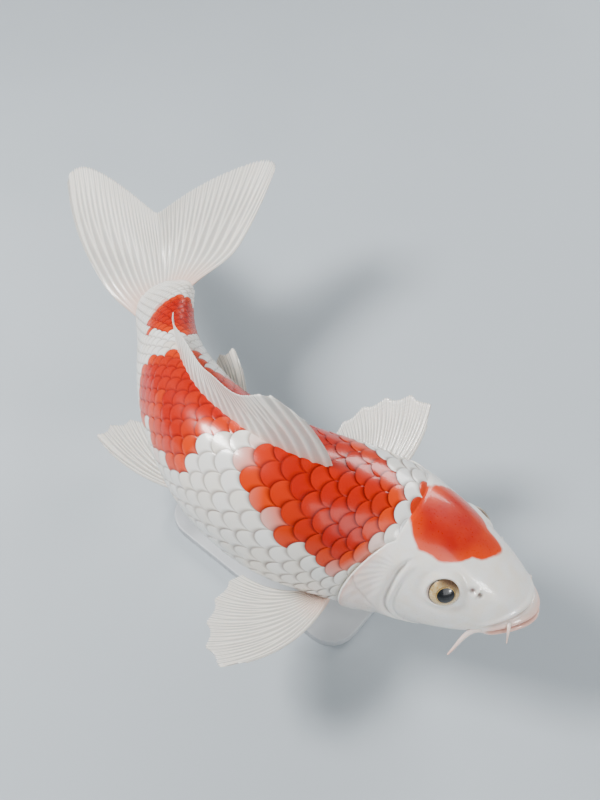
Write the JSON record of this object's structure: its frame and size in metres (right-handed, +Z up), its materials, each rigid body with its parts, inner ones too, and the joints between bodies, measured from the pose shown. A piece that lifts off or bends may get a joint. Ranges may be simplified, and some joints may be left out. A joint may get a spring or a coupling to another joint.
{
  "type": "koi carp display model",
  "caption": "Life-size koi carp, swimming in a gentle S curve with its fins spread, held over a flat base on slim rods.",
  "frame": {"origin": "on the floor, at the bottom centre of the whole model's bounding box", "axes": "+Z up; +X along the longest extent, towards the fish's head; the fish's right flank faces -Y"},
  "size_m": [0.6104, 0.3796, 0.2611],
  "materials": {
    "white_skin": "semi-gloss lacquered, pearly white with pale scale edges",
    "red_skin": "semi-gloss lacquered, orange-red",
    "fin_web": "satin, milky white with fine rays",
    "eye": "gloss",
    "grey_paint": "satin",
    "steel": "satin"
  },
  "bodies": {
    "root": {"head": "red_skin", "lower_jaw": "white_skin", "gill_cover_right": "white_skin", "gill_cover_left": "white_skin", "eye_right": "eye", "eye_left": "eye", "barbel_long_right": "white_skin", "barbel_long_left": "white_skin", "barbel_short_right": "white_skin", "barbel_short_left": "white_skin", "chest": "white_skin", "loin": "red_skin", "tail_stalk": "white_skin", "dorsal_fin": "fin_web", "anal_fin": "fin_web", "caudal_fin": "fin_web", "pectoral_fin_right": "fin_web", "pectoral_fin_left": "fin_web", "pelvic_fin_right": "fin_web", "pelvic_fin_left": "fin_web", "stand_base": "grey_paint", "stand_rod_front": "steel", "stand_rod_rear": "steel"}
  },
  "joints": []
}
